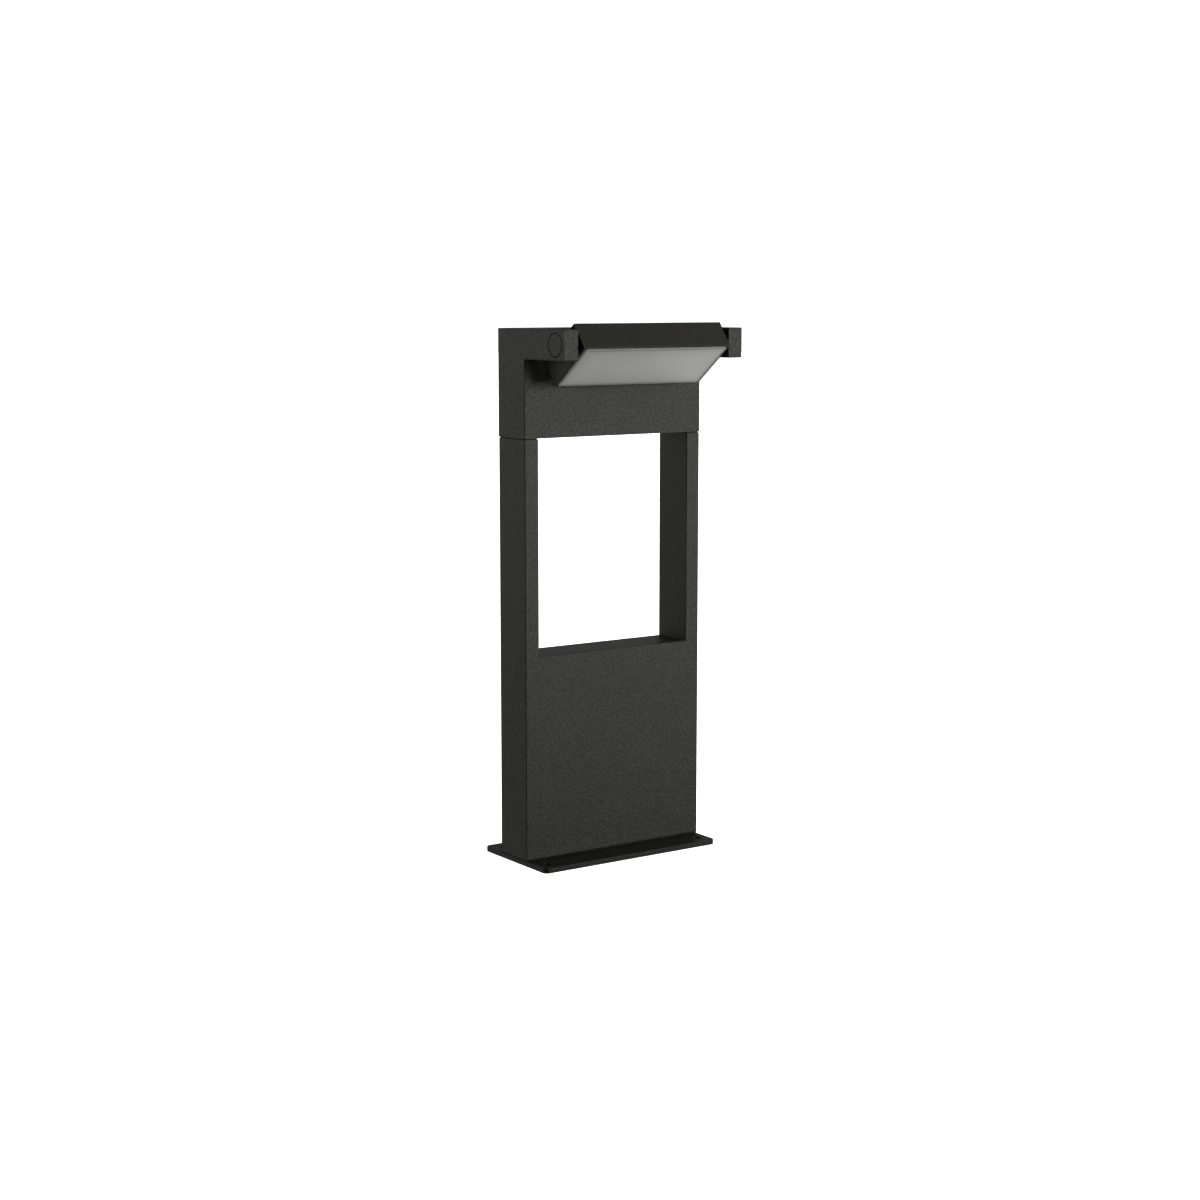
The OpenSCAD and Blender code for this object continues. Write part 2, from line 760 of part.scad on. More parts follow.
module lamp_housing() {
  cavity_w = 2 * (lamp_x - lamp_wall);
  color(coat) in_lamp() difference() {
    along_x(2 * lamp_x) lamp_outline();
    translate([0, 0, -half_t - 5]) linear_extrude(ledge_z + half_t + 5) lens_plan(lens_clear);
    difference() {
      along_x(cavity_w) lamp_cavity();
      both_sides() bar_x(pivot_boss_r, boss_x0, lamp_x);
    }
    both_sides() {
      bar_x(shaft_r + 0.02, boss_x0 - 1, lamp_x + 1);
      bar_x(shaft_r + 2.1, lamp_x - oring_seat, lamp_x + 1);
    }
    translate([0, stop_r * cos(stop_angle), stop_r * sin(stop_angle)])
      bar_x(stop_pin_r + 0.02, -lamp_x - 1, -lamp_x + 3.2);
    for (x = side, y = board_screw_y)
      translate([x * board_screw[0], y, roof_z - 1]) cylinder(h = 3, r = m3_r + fit, $fn = 24);
  }
}

board_screw_y = [-1, board_screw[1]];

module led_board() {
  color("#e9ebe8") in_lamp() difference() {
    translate([-board_x, board_y[0], board_z]) cube([2 * board_x, board_y[1] - board_y[0], board_t - 0.02]);
    for (x = side, y = board_screw_y)
      translate([x * board_screw[0], y, board_z - 1]) cylinder(h = board_t + 2, r = m3_r + 0.1, $fn = 24);
  }
}

module board_screws() {
  color(steel) in_lamp() for (x = side, y = board_screw_y)
    translate([x * board_screw[0], y, board_z]) cap_screw(m3_r, 2.6, 1.8, board_t + 1.8);
}

module leds() {
  x0 = -led_pitch * (led_columns - 1) / 2;
  color("#e8c646") in_lamp() for (i = [0:led_columns - 1], y = led_rows)
    translate([x0 + i * led_pitch - led_size / 2, y - led_size / 2, board_z - led_t])
      cube([led_size, led_size, led_t]);
}

// White tray that widens from the board to the diffuser, open at both ends
module reflector_layer(half_x, y, z, grow) {
  translate([-half_x - grow, y[0] - grow, z])
    cube([2 * (half_x + grow), y[1] - y[0] + 2 * grow, eps]);
}

module reflector_block(grow, over) {
  hull() {
    reflector_layer(reflector_top_x, reflector_top_y, reflector_top_z + over, grow);
    reflector_layer(reflector_low_x, reflector_low_y, reflector_low_z - over, grow);
  }
}

module reflector() {
  color(white) in_lamp() difference() {
    reflector_block(reflector_wall, 0);
    reflector_block(0, 0.2);
  }
}

module diffuser_gasket() {
  color(black_rubber) in_lamp() translate([0, 0, lens_z]) linear_extrude(seal_t) difference() {
    lens_plan(0);
    lens_plan(-1.6);
  }
}

module diffuser() {
  lip = lens_t - lens_chamfer;
  color("#c9c9c4") in_lamp() translate([0, 0, lens_z - lens_t]) hull() {
    translate([0, 0, lens_chamfer]) linear_extrude(lip) lens_plan(0);
    linear_extrude(eps) lens_plan(-lens_chamfer);
  }
}

module lamp_lead() {
  color("#8a8a8a") in_lamp() lead(lamp_route, lead_r, 10);
}

base_plate();
base_gasket();
base_screws();
gland_body();
gland_bush();
gland_cap();
terminal_bracket();
bracket_screws();
terminal_block();
terminal_screws();
earth_screw();
earth_tag();
post_body();
joint_gaskets();
joint_screws();
head_casting();
head_cover();
cover_gasket();
cover_screws();
driver_case();
driver_screws();
supply_lead();
led_lead();
pivot_bushes();
spring_washers();
left_plug();
right_plug();
pivot_bolt();
pivot_shaft();
pivot_nut();
friction_washers();
pivot_orings();
stop_pin();
lamp_housing();
led_board();
leds();
board_screws();
reflector();
diffuser_gasket();
diffuser();
lamp_lead();
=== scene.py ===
"""Looks of a garden bollard light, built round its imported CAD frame.

Lengths are in metres and the axes are the frame's own: X is the width, the lamp faces -Y, Z is up.
"""

import json
import math

import bmesh
import bpy
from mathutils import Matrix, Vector

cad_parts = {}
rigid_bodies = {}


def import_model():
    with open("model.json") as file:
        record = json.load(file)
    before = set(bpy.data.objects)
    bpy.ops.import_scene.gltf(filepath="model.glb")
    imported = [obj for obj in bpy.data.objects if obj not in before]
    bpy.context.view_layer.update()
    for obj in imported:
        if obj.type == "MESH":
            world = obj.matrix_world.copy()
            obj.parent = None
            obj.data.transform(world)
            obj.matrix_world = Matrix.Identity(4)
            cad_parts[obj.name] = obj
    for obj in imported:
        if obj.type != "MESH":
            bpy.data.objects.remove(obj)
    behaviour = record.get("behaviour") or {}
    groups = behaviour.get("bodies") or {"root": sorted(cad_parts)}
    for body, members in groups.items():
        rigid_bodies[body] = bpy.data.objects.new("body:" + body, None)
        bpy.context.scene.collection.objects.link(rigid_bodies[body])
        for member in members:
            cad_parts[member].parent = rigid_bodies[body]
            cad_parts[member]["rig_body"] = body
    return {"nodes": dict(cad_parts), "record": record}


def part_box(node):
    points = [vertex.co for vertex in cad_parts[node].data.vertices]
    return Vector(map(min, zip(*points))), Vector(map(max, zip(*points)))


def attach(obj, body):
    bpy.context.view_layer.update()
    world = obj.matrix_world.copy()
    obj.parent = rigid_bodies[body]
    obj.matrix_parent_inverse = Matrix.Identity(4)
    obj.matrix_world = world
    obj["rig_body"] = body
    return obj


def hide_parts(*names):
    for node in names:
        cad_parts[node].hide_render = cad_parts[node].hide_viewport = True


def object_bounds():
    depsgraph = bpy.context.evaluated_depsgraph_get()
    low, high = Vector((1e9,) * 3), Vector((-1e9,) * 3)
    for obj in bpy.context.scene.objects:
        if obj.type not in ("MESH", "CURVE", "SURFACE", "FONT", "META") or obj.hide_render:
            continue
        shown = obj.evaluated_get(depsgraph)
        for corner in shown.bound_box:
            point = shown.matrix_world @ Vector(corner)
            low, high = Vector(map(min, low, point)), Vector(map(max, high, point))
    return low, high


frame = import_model()
cad_low, cad_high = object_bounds()

MM = 0.001
# The float attribute that marks rounded edges, painted lighter on coats as a painted highlight, and
# the diffuser's groove, painted darker as painted shade; and the one for the painted shade near a
# diffuser's rim.
PAINTED_LIGHT_MARK = "edge"
RIM_SHADE_MARK = "rim"


def direction(azimuth, elevation):
    """Unit vector toward an azimuth and elevation in degrees. Azimuth 0 is -Y, and 90 is +X."""
    a = math.radians(azimuth)
    e = math.radians(elevation)
    return Vector((math.sin(a) * math.cos(e), -math.cos(a) * math.cos(e), math.sin(e)))


def look_back(thing, aim, toward, distance):
    """Stands a camera or a light some way off in a direction, facing what it aims at."""
    thing.location = aim + toward * distance
    thing.rotation_euler = (-toward).to_track_quat("-Z", "Y").to_euler()
    bpy.context.scene.collection.objects.link(thing)


# ---- Camera ----

CAMERA_AIM = Vector((-0.001, 0.0, 0.24192))
CAMERA_AZIMUTH = -34.733
CAMERA_ELEVATION = 8.0
CAMERA_DISTANCE = 2.08028
CAMERA_LENS = 65.463
SENSOR_WIDTH = 36.0


def make_camera():
    """Stands to the left of the lamp's front, a little above its middle."""
    data = bpy.data.cameras.new("camera")
    data.lens = CAMERA_LENS
    data.sensor_width = SENSOR_WIDTH
    camera = bpy.data.objects.new("camera", data)
    look_back(camera, CAMERA_AIM, direction(CAMERA_AZIMUTH, CAMERA_ELEVATION), CAMERA_DISTANCE)
    bpy.context.scene.camera = camera


# ---- Studio ----

# The backdrop: how far its floor lies under the base plate, and its size.
FLOOR_DROP = 0.3 * MM
FLOOR_RADIUS = 18.0
FLOOR_SIDES = 128
WALL_HEIGHT = 12.0
BACKDROP_COLOUR = (0.86, 0.86, 0.855)
BACKDROP_ROUGHNESS = 0.9
BACKDROP_SPECULAR = 0.1
BACKDROP_GLOW = 1.0

# The sun for the backdrop's floor.
SUN_STRENGTH = 3.6
SUN_ANGLE = 100.0
SUN_HEIGHT = 3.0

# The world's walls: pale, and dark round one azimuth. Starts and ends are cosines from it.
WALL_LIGHT = 0.5
DARK_AZIMUTH = -50.0
DARK_STARTS = 0.15
DARK_FULL = 0.7
DARK_LIGHT = 0.0
# The world's floor: dark, and bright round the azimuth behind the object.
FLOOR_DIM = 0.0
FLOOR_GLOW = 1.0
GLOW_AZIMUTH = 135.0
GLOW_STARTS = -0.1
GLOW_FULL = 0.8
# Heights, as sines of the elevation, where the floor ends and the dim ceiling begins.
FLOOR_ENDS = -0.05
WALL_BEGINS = -0.01
CEILING_STARTS = 0.14
CEILING_FULL = 0.35
CEILING_LIGHT = 0.17

# Each soft box: azimuth, elevation, distance, size, power, and whether gloss shows it.
SOFT_BOXES = {
    "key": (26.0, 4.0, 2.4, 1.2, 33.0, True),
    "top": (50.0, 42.0, 2.2, 1.0, 6.0, True),
    "side": (-135.0, 16.0, 1.5, 0.9, 1.7, True),
    "left": (-104.0, -4.0, 2.4, 1.6, 10.0, True),
    "bounce": (68.0, -8.0, 0.6, 0.3, 2.0, False),
}


def make_backdrop():
    """A wide pale floor just under the base plate, with a pale wall far off.

    Only the camera sees it: the world below is what lights the object.
    """
    bm = bmesh.new()
    made = bmesh.ops.create_circle(bm, cap_ends=True, segments=FLOOR_SIDES, radius=FLOOR_RADIUS)
    rim = list({e for v in made["verts"] for e in v.link_edges})
    wall = bmesh.ops.extrude_edge_only(bm, edges=rim)["geom"]
    for vert in [v for v in wall if isinstance(v, bmesh.types.BMVert)]:
        vert.co.z += WALL_HEIGHT
    mesh = bpy.data.meshes.new("backdrop")
    bm.to_mesh(mesh)
    bm.free()
    backdrop = bpy.data.objects.new("backdrop", mesh)
    backdrop.location.z = cad_low.z - FLOOR_DROP
    bpy.context.scene.collection.objects.link(backdrop)
    finish = Finish("pale_backdrop", BACKDROP_COLOUR, BACKDROP_ROUGHNESS)
    finish.shader.inputs["Specular IOR Level"].default_value = BACKDROP_SPECULAR
    finish.shader.inputs["Emission Color"].default_value = (1, 1, 1, 1)
    finish.shader.inputs["Emission Strength"].default_value = BACKDROP_GLOW
    backdrop.data.materials.append(finish.material)
    backdrop.visible_glossy = False
    backdrop.visible_diffuse = False
    backdrop.visible_shadow = False
    return backdrop


def make_soft_boxes():
    """Square area lights round the middle of the object. The camera doesn't see them."""
    middle = (cad_low + cad_high) / 2
    for name, (azimuth, elevation, distance, size, power, glossy) in SOFT_BOXES.items():
        data = bpy.data.lights.new(name, "AREA")
        data.size = size
        data.energy = power
        light = bpy.data.objects.new(name, data)
        light.visible_camera = False
        light.visible_glossy = glossy
        look_back(light, middle, direction(azimuth, elevation), distance)


def make_sun(backdrop):
    """A very wide soft sun overhead, for the floor alone."""
    data = bpy.data.lights.new("overhead", "SUN")
    data.energy = SUN_STRENGTH
    data.angle = math.radians(SUN_ANGLE)
    sun = bpy.data.objects.new("overhead", data)
    sun.location.z = SUN_HEIGHT
    lit = bpy.data.collections.new("lit_by_overhead")
    lit.objects.link(backdrop)
    sun.light_linking.receiver_collection = lit
    bpy.context.scene.collection.objects.link(sun)


def make_world():
    """A room for the object: walls dark at the front left, a floor bright behind, a dim ceiling."""
    world = bpy.data.worlds.new("studio")
    world.use_nodes = True
    bpy.context.scene.world = world
    tree = world.node_tree
    ray = tree.nodes.new("ShaderNodeTexCoord").outputs["Generated"]
    split = tree.nodes.new("ShaderNodeSeparateXYZ")
    tree.links.new(ray, split.inputs[0])

    def ramp(value, start, end, low, high):
        """Goes smoothly from low to high, which are numbers or other ramps, between start and end."""
        made = tree.nodes.new("ShaderNodeMapRange")
        made.interpolation_type = "SMOOTHSTEP"
        tree.links.new(value, made.inputs["Value"])
        made.inputs["From Min"].default_value = start
        made.inputs["From Max"].default_value = end
        for socket, level in (("To Min", low), ("To Max", high)):
            if isinstance(level, float):
                made.inputs[socket].default_value = level
            else:
                tree.links.new(level, made.inputs[socket])
        return made.outputs["Result"]

    def toward(azimuth):
        """1 in the direction of an azimuth, 0 square to it, -1 behind."""
        made = tree.nodes.new("ShaderNodeVectorMath")
        made.operation = "DOT_PRODUCT"
        tree.links.new(ray, made.inputs[0])
        made.inputs[1].default_value = direction(azimuth, 0)
        return made.outputs["Value"]

    floor_light = ramp(toward(GLOW_AZIMUTH), GLOW_STARTS, GLOW_FULL, FLOOR_DIM, FLOOR_GLOW)
    wall_light = ramp(toward(DARK_AZIMUTH), DARK_STARTS, DARK_FULL, WALL_LIGHT, DARK_LIGHT)
    lower_half = ramp(split.outputs["Z"], FLOOR_ENDS, WALL_BEGINS, floor_light, wall_light)
    whole = ramp(split.outputs["Z"], CEILING_STARTS, CEILING_FULL, lower_half, CEILING_LIGHT)
    background = tree.nodes["Background"]
    background.inputs["Color"].default_value = (1, 1, 1, 1)
    tree.links.new(whole, background.inputs["Strength"])


# ---- Materials ----

# The middle of a noise's range, where most of its values lie.
MIDDLE = (0.3, 0.7)


class Finish:
    """One procedural material, with short forms for wiring its nodes."""

    def __init__(self, name, colour, roughness, metallic=0.0):
        self.material = bpy.data.materials.new(name)
        self.material.use_nodes = True
        self.tree = self.material.node_tree
        self.shader = self.tree.nodes["Principled BSDF"]
        self.shader.inputs["Base Color"].default_value = (*colour, 1)
        self.shader.inputs["Roughness"].default_value = roughness
        self.shader.inputs["Metallic"].default_value = metallic
        self.place = self.node("ShaderNodeTexCoord").outputs["Object"]

    def node(self, kind, **settings):
        """A new node with some of its settings set."""
        made = self.tree.nodes.new(kind)
        for name, value in settings.items():
            setattr(made, name, value)
        return made

    def put(self, target, value):
        """Sets a socket to a value, or links it to another node's output."""
        if isinstance(value, bpy.types.NodeSocket):
            self.tree.links.new(value, target)
        else:
            target.default_value = value

    def noise(self, size, detail=2.0, stretch=None):
        """Noise from 0 to 1 whose features are about `size` across."""
        made = self.node("ShaderNodeTexNoise")
        self.put(made.inputs["Vector"], self.stretched(stretch))
        made.inputs["Scale"].default_value = 1 / size
        made.inputs["Detail"].default_value = detail
        return made.outputs["Fac"]

    def cells(self, size):
        """Distance from the nearest of many points that lie about `size` apart."""
        made = self.node("ShaderNodeTexVoronoi")
        self.put(made.inputs["Vector"], self.place)
        made.inputs["Scale"].default_value = 1 / size
        return made.outputs["Distance"]

    def stretched(self, stretch):
        """Object coordinates, scaled along each axis if stretch says so."""
        if stretch is None:
            return self.place
        made = self.node("ShaderNodeVectorMath", operation="MULTIPLY")
        self.put(made.inputs[0], self.place)
        made.inputs[1].default_value = stretch
        return made.outputs[0]

    def span(self, value, low, high, start=0.0, end=1.0):
        """Maps start..end to low..high."""
        made = self.node("ShaderNodeMapRange")
        self.put(made.inputs["Value"], value)
        made.inputs["From Min"].default_value = start
        made.inputs["From Max"].default_value = end
        made.inputs["To Min"].default_value = low
        made.inputs["To Max"].default_value = high
        return made.outputs["Result"]

    def math(self, operation, a, b):
        """A math node on two values."""
        made = self.node("ShaderNodeMath", operation=operation)
        self.put(made.inputs[0], a)
        self.put(made.inputs[1], b)
        return made.outputs[0]

    def mix(self, amount, a, b):
        """Colour a where amount is 0, and b where it is 1."""
        made = self.node("ShaderNodeMix", data_type="RGBA")
        self.put(made.inputs[0], amount)
        self.put(made.inputs[6], a if isinstance(a, bpy.types.NodeSocket) else (*a, 1))
        self.put(made.inputs[7], b if isinstance(b, bpy.types.NodeSocket) else (*b, 1))
        return made.outputs[2]

    def bump(self, height, distance, strength, before=None):
        """A bumped normal, on top of the one before if there is one."""
        made = self.node("ShaderNodeBump")
        self.put(made.inputs["Height"], height)
        made.inputs["Distance"].default_value = distance
        made.inputs["Strength"].default_value = strength
        if before is not None:
            self.put(made.inputs["Normal"], before)
        return made.outputs["Normal"]

    def painted_light_mark(self):
        """1 on the edges that round_edges() marks, 0 on flats: the mask for painted highlights on
        edges, and for painted shade in the diffuser's groove.
        """
        return self.mark(PAINTED_LIGHT_MARK)

    def mark(self, name):
        """A float attribute of the mesh."""
        return self.node("ShaderNodeAttribute", attribute_name=name).outputs["Fac"]

    def use(self, colour, roughness, normal):
        """Links what was made to the shader, and gives back the material."""
        for name, value in (("Base Color", colour), ("Roughness", roughness), ("Normal", normal)):
            self.put(self.shader.inputs[name], value)
        return self.material


def shade(colour, gain):
    """The colour made lighter or darker."""
    return tuple(c * gain for c in colour)


# The powder coat: its colour, gloss, and the size, height and tones of its pebbled skin.
COAT_COLOUR = (0.0100, 0.0100, 0.0093)
COAT_TINT = (1, 0.995, 0.93, 1)
COAT_ROUGHNESS = 0.5
COAT_GLOSS_SPREAD = 0.08
COAT_SPECULAR = 0.33
COAT_GAIN = 0.48
COAT_PATCH = 28 * MM
COAT_PEBBLE = 1.9 * MM
COAT_FINE_GRAIN = 0.7 * MM
COAT_BUMP = 0.5 * MM
COAT_BUMP_STRENGTH = 0.7
COAT_FINE_BUMP = 0.3 * MM
COAT_FINE_STRENGTH = 0.6
COAT_PEBBLE_SPAN = (0.36, 0.66)
COAT_LOW = 0.2
COAT_HIGH = 7.5
COAT_CONTRAST = 1.0
COAT_UNEVEN = 0.2
# Rounded edges are painted lighter, a painted highlight: its share, and its gain.
COAT_EDGE_HIGHLIGHT = 0.3
COAT_EDGE_HIGHLIGHT_GAIN = 2.2
# The two finer coats: less contrast, and on the base plate a darker colour that is painted shade.
FINE_SPECULAR = 0.325
FINE_CONTRAST = 0.55
BASE_SPECULAR = 0.26
BASE_SHADE_GAIN = 0.3


def powder_coat(name="powder_coat", specular=COAT_SPECULAR, gain=COAT_GAIN, contrast=COAT_CONTRAST):
    """Fine textured coat: a pebbled skin, uneven gloss, and rounded edges painted lighter as a painted
    highlight.
    """
    colour = shade(COAT_COLOUR, gain)
    f = Finish(name, colour, COAT_ROUGHNESS)
    f.shader.inputs["Specular IOR Level"].default_value = specular
    f.shader.inputs["Specular Tint"].default_value = COAT_TINT
    patches = f.noise(COAT_PATCH, 3)
    pebbles = f.noise(COAT_PEBBLE, 1)
    fine = f.noise(COAT_FINE_GRAIN, 2)
    dark, light = shade(colour, COAT_LOW), shade(colour, COAT_HIGH)
    speckle = f.mix(f.span(pebbles, 0, 1, *COAT_PEBBLE_SPAN), dark, light)
    plain = 1 - contrast
    tone = f.mix(f.span(patches, plain, plain + COAT_UNEVEN, *MIDDLE), speckle, colour)
    # Rounded edges painted lighter: a painted highlight.
    painted_light_mark = f.math("MULTIPLY", f.painted_light_mark(), COAT_EDGE_HIGHLIGHT)
    tone = f.mix(painted_light_mark, tone, shade(colour, COAT_EDGE_HIGHLIGHT_GAIN))
    low, high = COAT_ROUGHNESS - COAT_GLOSS_SPREAD, COAT_ROUGHNESS + COAT_GLOSS_SPREAD
    gloss = f.span(fine, low, high, *MIDDLE)
    skin = f.bump(pebbles, COAT_BUMP * contrast, COAT_BUMP_STRENGTH)
    skin = f.bump(fine, COAT_FINE_BUMP * contrast, COAT_FINE_STRENGTH, skin)
    return f.use(tone, gloss, skin)


def rubber(name="seal_rubber"):
    """Black rubber with a little dust."""
    colour = (0.006, 0.006, 0.006)
    f = Finish(name, colour, 0.75)
    f.shader.inputs["Specular IOR Level"].default_value = 0.2
    dust_and_shade = f.noise(3 * MM, 3)
    fine = f.noise(0.3 * MM, 2)
    tone = f.mix(f.span(dust_and_shade, 0, 1, 0.45, 0.75), colour, shade(colour, 2.2))
    return f.use(tone, f.span(fine, 0.65, 0.85), f.bump(fine, 0.03 * MM, 0.6))


def turned_steel(name="stainless", colour=(0.56, 0.56, 0.55), roughness=0.3):
    """Bare steel, slightly stained, with fine tool marks."""
    f = Finish(name, colour, roughness, 1.0)
    stains = f.noise(4 * MM, 3)
    marks = f.noise(0.25 * MM, 2)
    tone = f.mix(f.span(stains, 0, 1, 0.35, 0.7), colour, shade(colour, 0.72))
    gloss = f.span(marks, roughness - 0.08, roughness + 0.12)
    return f.use(tone, gloss, f.bump(marks, 0.008 * MM, 0.5))


def zinc_sheet(name="zinc_sheet"):
    """Galvanised sheet with its spangle."""
    colour = (0.5, 0.52, 0.55)
    f = Finish(name, colour, 0.38, 1.0)
    spangle = f.cells(5 * MM)
    marks = f.noise(0.4 * MM, 2)
    tone = f.mix(f.span(spangle, 0, 1, 0.1, 0.7), shade(colour, 0.8), shade(colour, 1.15))
    return f.use(tone, f.span(spangle, 0.3, 0.5), f.bump(marks, 0.01 * MM, 0.5))


def brass(name="brass"):
    """Brass with darker stains."""
    colour = (0.72, 0.5, 0.2)
    f = Finish(name, colour, 0.3, 1.0)
    stains = f.noise(2.5 * MM, 3)
    marks = f.noise(0.3 * MM, 2)
    tone = f.mix(f.span(stains, 0, 1, 0.4, 0.75), colour, (0.36, 0.22, 0.09))
    return f.use(tone, f.span(marks, 0.24, 0.42), f.bump(marks, 0.01 * MM, 0.5))


def moulded(name, colour, roughness, grain=0.35):
    """Moulded plastic: a fine spark-eroded skin with slight flow marks."""
    f = Finish(name, colour, roughness)
    flow = f.noise(14 * MM, 3, (1, 0.4, 1))
    skin = f.noise(grain * MM, 2)
    tone = f.mix(f.span(flow, 0, 1, 0.35, 0.7), shade(colour, 0.93), shade(colour, 1.06))
    # Rounded edges painted lighter: a painted highlight.
    tone = f.mix(f.math("MULTIPLY", f.painted_light_mark(), 0.4), tone, shade(colour, 1.3))
    gloss = f.span(skin, roughness - 0.06, roughness + 0.06)
    return f.use(tone, gloss, f.bump(skin, 0.015 * MM, 0.6))


def solder_mask(name="board_white"):
    """White solder mask over a faint glass weave."""
    colour = (0.78, 0.79, 0.77)
    f = Finish(name, colour, 0.35)
    weave = f.noise(0.8 * MM, 1)
    stains = f.noise(9 * MM, 3)
    tone = f.mix(f.span(stains, 0, 1, 0.4, 0.7), colour, shade(colour, 0.9))
    return f.use(tone, f.span(weave, 0.3, 0.42), f.bump(weave, 0.01 * MM, 0.5))


def phosphor(name="led_phosphor"):
    """Yellow phosphor gel of an unlit LED."""
    colour = (0.83, 0.62, 0.12)
    f = Finish(name, colour, 0.35)
    dust_and_shade = f.noise(0.3 * MM, 2)
    tone = f.mix(f.span(dust_and_shade, 0, 1, 0.35, 0.7), colour, (0.9, 0.74, 0.25))
    return f.use(tone, f.span(dust_and_shade, 0.28, 0.42), f.bump(dust_and_shade, 0.01 * MM, 0.5))


OPAL_COLOUR = (0.6, 0.6, 0.58)
OPAL_GAIN = 0.72
# How dark the opal's painted shade is near its frame, and in its groove.
OPAL_RIM_SHADE_GAIN = 0.72
OPAL_GROOVE_SHADE_GAIN = 0.4
OPAL_DEPTH = 2 * MM
OPAL_CLOUD = 45 * MM


def opal(name="opal"):
    """Unlit opal acrylic: milky grey right through, with painted shade near its frame and painted
    shade in its groove.
    """
    colour = shade(OPAL_COLOUR, OPAL_GAIN)
    f = Finish(name, colour, 0.42)
    cloud = f.noise(OPAL_CLOUD, 2)
    fine = f.noise(0.4 * MM, 2)
    rim_shade = f.mark(RIM_SHADE_MARK)
    tone = f.mix(f.span(cloud, 0, 1, *MIDDLE), shade(colour, 0.97), shade(colour, 1.03))
    # Painted shade near the frame, where the housing behind shades the sheet.
    tone = f.mix(rim_shade, tone, shade(colour, OPAL_RIM_SHADE_GAIN))
    # Painted shade in the groove.
    tone = f.mix(f.painted_light_mark(), tone, shade(colour, OPAL_GROOVE_SHADE_GAIN))
    f.shader.inputs["Subsurface Weight"].default_value = 0.25
    f.shader.inputs["Subsurface Radius"].default_value = (1, 1, 1)
    f.shader.inputs["Subsurface Scale"].default_value = OPAL_DEPTH
    return f.use(tone, f.span(fine, 0.36, 0.48), f.bump(fine, 0.006 * MM, 0.5))


def make_materials():
    """One material for each of the record's slots, and two finer coats.

    fine_coat is for the post and the lamp housing; the base plate has a darker copy of the coat, which
    is painted shade.
    """
    return {
        "powder_coat": powder_coat(),
        "fine_coat": powder_coat("fine_coat", FINE_SPECULAR, COAT_GAIN, FINE_CONTRAST),
        "shaded_base_coat": powder_coat("shaded_base_coat", BASE_SPECULAR, BASE_SHADE_GAIN, FINE_CONTRAST),
        "seal_rubber": rubber(),
        "stainless": turned_steel(),
        "spring_steel": turned_steel("spring_steel", (0.33, 0.34, 0.36), 0.36),
        "zinc_sheet": zinc_sheet(),
        "black_plastic": moulded("black_plastic", (0.016, 0.016, 0.017), 0.5),
        "white_plastic": moulded("white_plastic", (0.7, 0.69, 0.64), 0.42),
        "driver_plastic": moulded("driver_plastic", (0.045, 0.05, 0.056), 0.46),
        "brass": brass(),
        "lead_black": moulded("lead_black", (0.014, 0.014, 0.014), 0.55, 0.6),
        "lead_grey": moulded("lead_grey", (0.25, 0.25, 0.25), 0.5, 0.6),
        "bearing_plastic": moulded("bearing_plastic", (0.66, 0.62, 0.52), 0.4),
        "board_white": solder_mask(),
        "led_phosphor": phosphor(),
        "opal": opal(),
    }


def finish_nodes():
    """Gives each CAD node the finish of its own slot."""
    for name, node in frame["nodes"].items():
        node.material_slots[0].material = materials[slots[name]]


# ---- Softened shells ----

# Points closer than WELD are one point, and faces that meet at less than FLAT are one face.
WELD = 0.002 * MM
FLAT = math.radians(0.03)
# Edges over SHARP are rounded in the first tier, and edges over SQUARE in the tiers after it.
SHARP = math.radians(28)
SQUARE = math.radians(60)
LONG = 12 * MM
LEVEL_REACH = 0.6 * MM
# Edge radii in millimetres.
POST_RADIUS = 0.9
PLATE_RADIUS = 0.5
LAMP_RADIUS = 0.35
JOINT_RADIUS = 0.12
DETAIL_RADIUS = 0.2


def welded_copy(node):
    """The CAD node's surface as one connected mesh of whole flat faces."""
    source = frame["nodes"][node].data
    bm = bmesh.new()
    corners = [bm.verts.new(v.co) for v in source.vertices]
    for face in source.polygons:
        bm.faces.new([corners[i] for i in face.vertices])
    bmesh.ops.remove_doubles(bm, verts=bm.verts, dist=WELD)
    bmesh.ops.dissolve_limit(bm, angle_limit=FLAT, verts=bm.verts, edges=bm.edges)
    bmesh.ops.recalc_face_normals(bm, faces=bm.faces)
    return bm


def round_edges(bm, mark, edges, radius, steps):
    """Bevels edges round, and marks the new points for the painted edge highlight."""
    result = bmesh.ops.bevel(
        bm, geom=edges, offset=radius, offset_type="OFFSET", segments=steps, profile=0.5,
        affect="EDGES", clamp_overlap=False, loop_slide=True,
    )
    for vert in result["verts"]:
        vert[mark] = 1.0


def long_edge(edge):
    """An edge of the outline: it stands out, and is too long to belong to a bore or a small arc."""
    return edge.is_convex and edge.calc_length() > LONG


def outward(edge):
    """An edge that stands out."""
    return edge.is_convex


def level_with(height):
    """A test for edges that lie at one height."""
    def test(edge):
        """Both ends are at the height."""
        return all(abs(v.co.z - height) < LEVEL_REACH for v in edge.verts)
    return test


def above(height):
    """A test for edges that lie above a height and stand out."""
    def test(edge):
        """It stands out, and both ends are above the height."""
        return edge.is_convex and all(v.co.z > height for v in edge.verts)
    return test


def soften(node, tiers, material=None):
    """Makes a piece that stands for a CAD node, with its sharp edges rounded.

    Each tier is a radius, a number of steps, and a test. An edge is rounded by the first tier that
    it passes, and only square edges are left for the tiers after the first.
    """
    bm = welded_copy(node)
    mark = bm.verts.layers.float.new(PAINTED_LIGHT_MARK)
    least = SHARP
    for radius, steps, test in tiers:
        edges = [e for e in bm.edges if e.is_manifold and e.calc_face_angle() > least and test(e)]
        round_edges(bm, mark, edges, radius * MM, steps)
        least = SQUARE
    piece = make_piece(node + "_shell", bm, [material or materials[slots[node]]])
    shade_evenly(piece)
    stand_for(piece, node)


